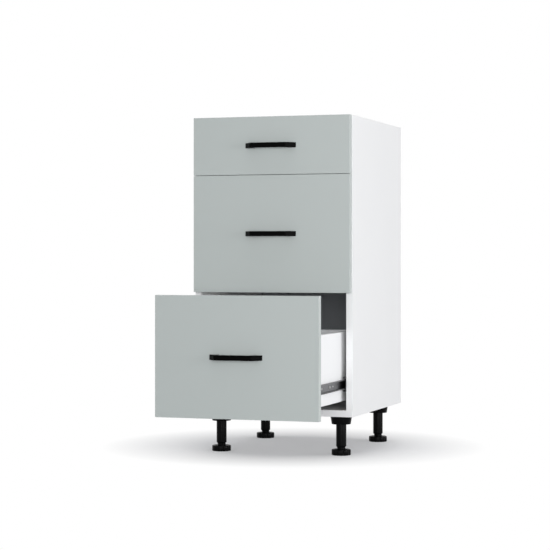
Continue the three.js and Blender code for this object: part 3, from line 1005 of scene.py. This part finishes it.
# %% Sizes of a leg
SEGMENTS = 48
CARCASS_FLOOR = place_of("bottom_panel")[0].z
socket_low, socket_high = place_of("leg_socket_front_left")
tube_low, tube_high = place_of("leg_tube_front_left")
foot_low, foot_high = place_of("leg_foot_front_left")
TUBE_RADIUS = (tube_high.x - tube_low.x) / 2
FOOT_RADIUS = (foot_high.x - foot_low.x) / 2


def leg_axis(name):
    low, high = place_of(name)
    return Vector(((low.x + high.x) / 2, (low.y + high.y) / 2, 0.0))


print("tube", round(2000 * TUBE_RADIUS, 1), "mm, foot", round(2000 * FOOT_RADIUS, 1), "mm wide")

# %% [markdown]
# The socket is a moulded cup that tapers a little, as a part must that leaves its mould. Round
# the hole for the tube runs a collar, and between it and the outer wall lie six deep pockets,
# because thick plastic sinks in as it cools. Cutting the pockets out with a boolean would leave
# long thin faces, so the ring of faces between the ribs is drawn upwards instead.

# %% Leg socket
RIBS, SOCKET_ROOF = 6, 0.005


def sector(face):
    """Which of the SEGMENTS steps about the axis a face lies in."""
    middle = face.calc_center_median()
    return int((math.atan2(middle.y, middle.x) % math.tau) / math.tau * SEGMENTS)


def socket_shape():
    """A tapered cup with a collar, six pockets and the ribs between them."""
    low, high = socket_low.z, socket_high.z
    roof = high - SOCKET_ROOF
    bm = turned(rounded([
        (0.0, roof), (0.01275, roof), (0.01275, low, 0.0006), (0.015, low, 0.0006),
        (0.015, low + 0.0002), (0.021, low + 0.0002), (0.021, low, 0.0004),
        (0.023, low, 0.0008), (0.02625, high - 0.002, 0.0008), (0.02625, high, 0.0006), (0.0, high),
    ]), SEGMENTS)
    ring = [
        face for face in bm.faces
        if abs(face.normal.z + 1) < 0.01
        and 0.0155 < math.hypot(*face.calc_center_median().xy) < 0.0205
    ]
    pocket = [face for face in ring if sector(face) % (SEGMENTS // RIBS)]
    drawn = bmesh.ops.extrude_face_region(bm, geom=pocket)
    bmesh.ops.delete(bm, geom=[f for f in pocket if f.is_valid], context="FACES_ONLY")
    bmesh.ops.translate(bm, vec=(0, 0, roof - low - 0.0002), verts=new_verts(drawn))
    bmesh.ops.recalc_face_normals(bm, faces=bm.faces)
    return bm


tell("socket", socket_shape())

# %% [markdown]
# The tube is a plain pipe with a rounded lower lip. It is closed at the top, inside the socket,
# and its bore leaves room for the crests of the thread.

# %% Leg tube


def tube_shape():
    low, high = tube_low.z, tube_high.z
    bore = 0.0107
    return turned(rounded([
        (0.0, high - 0.006), (bore, high - 0.006), (bore, low, 0.0004),
        (TUBE_RADIUS - 0.001, low, 0.0004), (TUBE_RADIUS, low + 0.002, 0.0008),
        (TUBE_RADIUS, high, 0.0008), (0.0, high),
    ]), SEGMENTS)


tell("tube", tube_shape())

# %% [markdown]
# The foot's stem carries a coarse thread, which shows in the gap under the tube and more of it
# when the foot is screwed down. A Screw modifier could wind it, but a spin that also climbs does
# the same in one step. It is a piece of its own, laid over the plain stem of the foot.

# %% Thread
THREAD_PITCH, THREAD_LOW, THREAD_TURNS = 0.004, 0.0108, 12
CREST_RADIUS = 0.0104
ROOT_RADIUS = 0.0097


def thread_shape(low, turns):
    """A coarse thread: one tooth of its outline, spun while it climbs one pitch each turn."""
    bm = bmesh.new()
    tooth = (
        (ROOT_RADIUS, 0.0), (CREST_RADIUS, 0.28), (CREST_RADIUS, 0.5),
        (ROOT_RADIUS, 0.78), (ROOT_RADIUS, 1.0),
    )
    points = [bm.verts.new((radius, 0.0, low + share * THREAD_PITCH)) for radius, share in tooth]
    edges = [bm.edges.new(pair) for pair in zip(points, points[1:])]
    steps = 24
    bmesh.ops.spin(
        bm, geom=points + edges, cent=(0, 0, 0), axis=(0, 0, 1),
        dvec=(0, 0, THREAD_PITCH / steps), angle=math.tau * turns, steps=steps * turns,
    )
    bmesh.ops.remove_doubles(bm, verts=bm.verts, dist=1e-6)
    return bm


tell("thread", thread_shape(THREAD_LOW, THREAD_TURNS))

# %% [markdown]
# The foot is a thick disc with a hollow below, a neck that rises to the stem, and notches in its
# rim for the fingers that turn it. The rim is spun round and smooth, and its points are then
# pulled in where a notch is. That keeps the mesh even, which cutting the notches would not.

# %% Foot
NOTCHES, NOTCH_DEPTH, NOTCH_START, FIRST_NOTCH = 8, 0.0024, 0.0195, 0.51
FOOT_HEIGHT = 0.014


def foot_shape():
    """The knob-edged foot, with its dish, its rim and the threaded stem."""
    base, rim = foot_low.z, foot_low.z + FOOT_HEIGHT
    bm = turned(rounded([
        (0.0, base + 0.0015), (0.017, base + 0.0015, 0.0005), (0.018, base, 0.0005),
        (FOOT_RADIUS, base, 0.002), (FOOT_RADIUS, rim, 0.002), (0.021, rim, 0.0006),
        (0.0125, base + 0.0112, 0.001), (ROOT_RADIUS, base + 0.0105),
        (ROOT_RADIUS, foot_high.z, 0.001), (0.0, foot_high.z),
    ]), 2 * SEGMENTS)
    for v in bm.verts:
        out = math.hypot(v.co.x, v.co.y)
        if out > NOTCH_START:
            turn = math.atan2(v.co.y, v.co.x) - FIRST_NOTCH
            notch = NOTCH_DEPTH * max(0.0, math.cos(NOTCHES * turn)) ** 3
            v.co.xy *= 1 - notch * (out - NOTCH_START) / (FOOT_RADIUS - NOTCH_START) / out
    return bm


tell("foot", foot_shape())

# %% [markdown]
# The four pieces of a leg are moved to its axis. Foot and thread ride on the foot's body, the
# rest on the carcass, and three screws hold each socket.

# %% Place the legs
SOCKET_SCREW_RADIUS = 0.018
for row in ("front", "rear"):
    for side in ("left", "right"):
        where = f"{row}_{side}"
        axis = leg_axis(f"leg_tube_{where}")
        foot_body = f"foot_{where}"
        moulded = (
            (socket_shape(), "socket", "carcass", [f"leg_socket_{where}"]),
            (tube_shape(), "tube", "carcass", [f"leg_tube_{where}"]),
            (foot_shape(), "foot", foot_body, [f"leg_foot_{where}"]),
            (thread_shape(THREAD_LOW, THREAD_TURNS), "thread", foot_body, []),
        )
        for bm, kind, body, nodes in moulded:
            bmesh.ops.translate(bm, vec=axis, verts=bm.verts)
            keep(bm, f"{kind}_{where}", (black_plastic,), body, "black_plastic", *nodes)
        screws = []
        for degrees in (90, 210, 330):
            angle = math.radians(degrees)
            out = Vector((math.cos(angle), math.sin(angle), 0.0)) * SOCKET_SCREW_RADIUS
            screws.append((axis + out + Vector((0.0, 0.0, CARCASS_FLOOR - SOCKET_ROOF)), DOWN))
        fasten(pan_head, screws, f"socket_screws_{where}", "carcass")
print("four legs")

# %% [markdown]
# ## Slides
#
# A ball-bearing slide is rolled from steel strip. It is made here as the press shop makes it:
# the flat strip is filled with its screw holes left open, its long edges are folded over by
# spinning them about the bend's centre, and the sheet gets its thickness last. Both members
# are drawn for the right-hand side of the cabinet and mirrored for the left.

# %% A strip with open holes
PANEL_X = place_of("side_panel_right")[0].x
SHEET = 0.0012


def loop_of(bm, spots):
    """A closed outline of new edges."""
    corners = [bm.verts.new(spot) for spot in spots]
    return [bm.edges.new(pair) for pair in zip(corners, corners[1:] + corners[:1])]


def strip(bm, u, y_range, z_range, openings):
    """A flat strip at distance u from the side panel, with open screw holes."""
    x = PANEL_X - u
    (front, back), (low, high) = y_range, z_range
    edges = loop_of(bm, ((x, front, low), (x, back, low), (x, back, high), (x, front, high)))
    long_edges = {"low": edges[0], "high": edges[2]}
    loops = list(edges)
    for y, z, length, radius in openings:
        spot = Matrix.Translation((x, y, z)) @ Matrix.Rotation(math.pi / 2, 4, "Y")
        spot = spot @ Matrix.Rotation(math.pi / 16, 4, "Z")
        hole = bmesh.ops.create_circle(bm, segments=16, radius=radius, matrix=spot)
        reach = length / 2 - radius
        for v in hole["verts"]:
            v.co.y += math.copysign(reach, v.co.y - y) if reach > 0 else 0.0
        loops += list({edge for v in hole["verts"] for edge in v.link_edges})
    bmesh.ops.triangle_fill(bm, use_beauty=True, use_dissolve=False, edges=loops, normal=(1, 0, 0))
    return long_edges


print("strips are filled flat, panel face at", round(PANEL_X, 4))

# %% [markdown]
# A bend in the sheet is its long edge, spun about the centre of the bend through a quarter turn,
# and a straight flange is the same edge drawn out. Both return the new edge, so that steps can
# follow each other. One solidify then gives all of it the same thickness, as real sheet has,
# while two drawn outlines would never stay parallel in the bends.

# %% Folds and thickness
FOLD_STEPS = 4


def fold(bm, edge, u, z, degrees):
    """Bends the sheet on from an edge about the line at (u, z), and returns its new edge."""
    swept = bmesh.ops.spin(
        bm, geom=[edge, *edge.verts], cent=(PANEL_X - u, 0, z), axis=(0, 1, 0),
        angle=math.radians(degrees), steps=FOLD_STEPS,
    )
    return next(item for item in swept["geom_last"] if isinstance(item, bmesh.types.BMEdge))


def draw_out(bm, edge, du, dz):
    """Runs the sheet straight on from an edge."""
    drawn = bmesh.ops.extrude_edge_only(bm, edges=[edge])
    bmesh.ops.translate(bm, vec=(-du, 0, dz), verts=new_verts(drawn))
    return next(item for item in drawn["geom"] if isinstance(item, bmesh.types.BMEdge))


def thicken(bm, thickness, side, outward):
    """Gives the sheet its thickness on the side away from `outward`, and mirrors a left one."""
    bmesh.ops.remove_doubles(bm, verts=bm.verts, dist=1e-6)
    bmesh.ops.recalc_face_normals(bm, faces=bm.faces)
    largest = max(bm.faces, key=lambda face: face.calc_area())
    if largest.normal.dot(Vector(outward)) < 0:
        bmesh.ops.reverse_faces(bm, faces=bm.faces)
    bmesh.ops.solidify(bm, geom=bm.faces[:], thickness=thickness)
    if side == "left":
        bmesh.ops.scale(bm, vec=(-1, 1, 1), verts=bm.verts)
    return bm


print("each fold has", FOLD_STEPS, "steps")

# %% [markdown]
# The wide member is screwed to the side panel. It is a C, whose flanges turn back into lips
# that hold the balls from outside. Its round holes fix it and its long ones let it be adjusted.

# %% Cabinet member
HOLE_RADIUS, SLOT_LENGTH = 0.00225, 0.009
CABINET_HOLES = ((0.035, 0), (0.131, SLOT_LENGTH), (0.259, SLOT_LENGTH), (0.365, 0))
CABINET_BEND_HALF, CABINET_BEND_U = 0.0151, 0.0024
CABINET_FLANGE, CABINET_LIP_U, CABINET_LIP = 0.0048, 0.0072, 0.0004


def cabinet_member(name, side):
    low, high = place_of(name)
    middle = (low.z + high.z) / 2
    half = CABINET_BEND_HALF
    holes = [(low.y + y, middle, length, HOLE_RADIUS) for y, length in CABINET_HOLES]
    bm = bmesh.new()
    ends = strip(bm, 0.0, (low.y, high.y), (middle - half, middle + half), holes)
    for key, way in (("high", 1), ("low", -1)):
        edge = fold(bm, ends[key], CABINET_BEND_U, middle + way * half, -90 * way)
        edge = draw_out(bm, edge, CABINET_FLANGE, 0.0)
        edge = fold(bm, edge, CABINET_LIP_U, middle + way * half, -90 * way)
        draw_out(bm, edge, 0.0, -CABINET_LIP * way)
    return thicken(bm, SHEET, side, (1, 0, 0))


print("cabinet member with", len(CABINET_HOLES), "holes")

# %% [markdown]
# The narrow member is screwed to the drawer's side, with its flat web against it. Its flanges
# have a shallow raceway for the balls pressed into them, so each flange is drawn out in a few
# short steps of (outwards, up) that follow the raceway.

# %% Drawer member
DRAWER_HOLES = ((0.083, SLOT_LENGTH), (0.147, 0), (0.177, SLOT_LENGTH), (0.34, 0))
DRAWER_WEB_U, DRAWER_BEND_HALF, DRAWER_BEND_U = 0.0125, 0.0092, 0.011
DRAWER_FLANGE = (
    (-0.0014, 0.0), (-0.0004, -0.0002), (-0.005, 0.0), (-0.0004, 0.0007), (-0.0006, 0.0),
)


def drawer_member(name, side):
    low, high = place_of(name)
    middle = (low.z + high.z) / 2
    half = DRAWER_BEND_HALF
    holes = [(low.y + y, middle, length, HOLE_RADIUS) for y, length in DRAWER_HOLES]
    bm = bmesh.new()
    ends = strip(bm, DRAWER_WEB_U, (low.y, high.y), (middle - half, middle + half), holes)
    for key, way in (("high", 1), ("low", -1)):
        edge = fold(bm, ends[key], DRAWER_BEND_U, middle + way * half, 90 * way)
        for du, dz in DRAWER_FLANGE:
            edge = draw_out(bm, edge, du, dz * way)
    return thicken(bm, SHEET, side, (-1, 0, 0))


print("drawer member with", len(DRAWER_HOLES), "holes")

# %% [markdown]
# The wide member stays with the carcass and the narrow one rides on its drawer, so that the two
# slide past each other when the drawer moves.

# %% Place the members
for where in ("top", "middle", "bottom"):
    for side in ("left", "right"):
        fixed = f"{where}_slide_cabinet_member_{side}"
        moving = f"{where}_slide_drawer_member_{side}"
        channels = (
            (cabinet_member(fixed, side), "outer_channel", "carcass", fixed),
            (drawer_member(moving, side), "inner_channel", f"{where}_drawer", moving),
        )
        for bm, kind, body, node_name in channels:
            name = f"{where}_{kind}_{side}"
            made = keep(bm, name, (zinc_steel_painted_shade,), body, "slide_steel", node_name)
print(made.name, len(made.data.polygons), "faces")

# %% [markdown]
# Between the two members rolls a cage of thin sheet. Its two arms are punched with a round
# window for each ball, and its web is folded down between them.

# %% Ball cages
CAGE_SHEET = 0.0006
CAGE_WEB_U, CAGE_END_U, BALL_U = 0.0019, 0.0088, 0.0059
CAGE_HALF, CAGE_BEND = 0.0137, 0.0008
BALL_RADIUS, BALL_HALF_HEIGHT, BALLS_PER_ROW = 0.0026, 0.0134, 7
BALL_PITCH, WINDOW_GAP = 0.01125, 0.00012


def ball_places(low, high):
    middle_y = (low.y + high.y) / 2
    return [middle_y + (i - (BALLS_PER_ROW - 1) / 2) * BALL_PITCH for i in range(BALLS_PER_ROW)]


def cage_arm(bm, low, high, z):
    """A flat arm with its windows; returns the edge where the web starts."""
    near, far = PANEL_X - CAGE_WEB_U - CAGE_BEND, PANEL_X - CAGE_END_U
    spots = ((near, low.y, z), (near, high.y, z), (far, high.y, z), (far, low.y, z))
    edges = loop_of(bm, spots)
    loops = list(edges)
    window = BALL_RADIUS + WINDOW_GAP
    for y in ball_places(low, high):
        spot = Matrix.Translation((PANEL_X - BALL_U, y, z))
        hole = bmesh.ops.create_circle(bm, segments=16, radius=window, matrix=spot)
        loops += list({edge for v in hole["verts"] for edge in v.link_edges})
    bmesh.ops.triangle_fill(bm, use_beauty=True, use_dissolve=False, edges=loops, normal=(0, 0, 1))
    return edges[0]


def cage_shape(name, side):
    low, high = place_of(name)
    middle = (low.z + high.z) / 2
    bm = bmesh.new()
    upper = cage_arm(bm, low, high, middle + CAGE_HALF)
    cage_arm(bm, low, high, middle - CAGE_HALF)
    edge = fold(bm, upper, CAGE_WEB_U + CAGE_BEND, middle + CAGE_HALF - CAGE_BEND, 90)
    edge = draw_out(bm, edge, 0.0, -2 * (CAGE_HALF - CAGE_BEND))
    fold(bm, edge, CAGE_WEB_U + CAGE_BEND, middle - CAGE_HALF + CAGE_BEND, 90)
    return thicken(bm, CAGE_SHEET, side, (0, 0, 1))


print("cage arms with", BALLS_PER_ROW, "windows each")

# %% [markdown]
# The balls are polished steel and sit in the windows, half in each raceway. They are far too
# small for their facets to show, so each has only about a hundred faces.

# %% Balls


def balls_shape(name, side):
    low, high = place_of(name)
    middle = (low.z + high.z) / 2
    bm = bmesh.new()
    x = (PANEL_X - BALL_U) * (-1 if side == "left" else 1)
    for y in ball_places(low, high):
        for way in (-1, 1):
            at = Matrix.Translation((x, y, middle + way * BALL_HALF_HEIGHT))
            bmesh.ops.create_uvsphere(
                bm, u_segments=14, v_segments=8, radius=BALL_RADIUS, matrix=at
            )
    return bm


print("balls", round(2000 * BALL_RADIUS, 1), "mm across")

# %% [markdown]
# A cage is on a body of its own, because it rolls half as far as its drawer slides.

# %% Place the cages
for where in ("top", "middle", "bottom"):
    for side in ("left", "right"):
        name = f"{where}_slide_ball_cage_{side}"
        body = f"{where}_cage_{side}"
        made = keep(
            cage_shape(name, side), f"{where}_cage_sheet_{side}", (cage_steel,),
            body, "cage_steel", name,
        )
        balls = keep(
            balls_shape(name, side), f"{where}_cage_balls_{side}", (ball_steel,),
            body, "cage_steel",
        )
print(made.name, len(made.data.polygons), "faces,", balls.name, len(balls.data.polygons))

# %% [markdown]
# Flush screws hold the cabinet member, because the cage rolls over them, and pan-headed ones
# the drawer member. Like a fitter, this leaves some of the holes open.

# %% Slide screws
CABINET_SCREWS = (0.035, 0.131, 0.365)
BOX_SCREWS = (0.083, 0.147, 0.34)
for where in ("top", "middle", "bottom"):
    for side, way in (("left", -1), ("right", 1)):
        low, high = place_of(f"{where}_slide_cabinet_member_{side}")
        z = (low.z + high.z) / 2
        x = way * (PANEL_X - SHEET)
        spots = [((x, low.y + y, z), (-way, 0, 0)) for y in CABINET_SCREWS]
        fasten(flush_head, spots, f"{where}_cabinet_screws_{side}", "carcass")
        low, high = place_of(f"{where}_slide_drawer_member_{side}")
        x = way * (PANEL_X - DRAWER_WEB_U + SHEET)
        spots = [((x, low.y + y, z), (way, 0, 0)) for y in BOX_SCREWS]
        fasten(pan_head, spots, f"{where}_box_screws_{side}", f"{where}_drawer")
print("slide screws")

# %% [markdown]
# ## Carcass fittings
#
# The carcass boards are drawn together by cam locks: round die-cast cups let into the
# underside of the bottom panel and of the rails, each turned by a screwdriver in its cross.

# %% Cam locks
CAM_X, CAM_Y = (-0.15, 0.15), (0.05, 0.24)
cam_head = screw_head(0.0075, 0.0006, flat=True)
cams = [((x, y, CARCASS_FLOOR), DOWN) for x in CAM_X for y in CAM_Y]
for rail in ("top_rail_front", "top_rail_rear"):
    low, high = place_of(rail)
    cams += [((x, (low.y + high.y) / 2, low.z), DOWN) for x in CAM_X]
made = keep(copies(cam_head, cams), "cam_locks", (die_cast,), "carcass", "slide_steel")
print(made.name, len(cams))
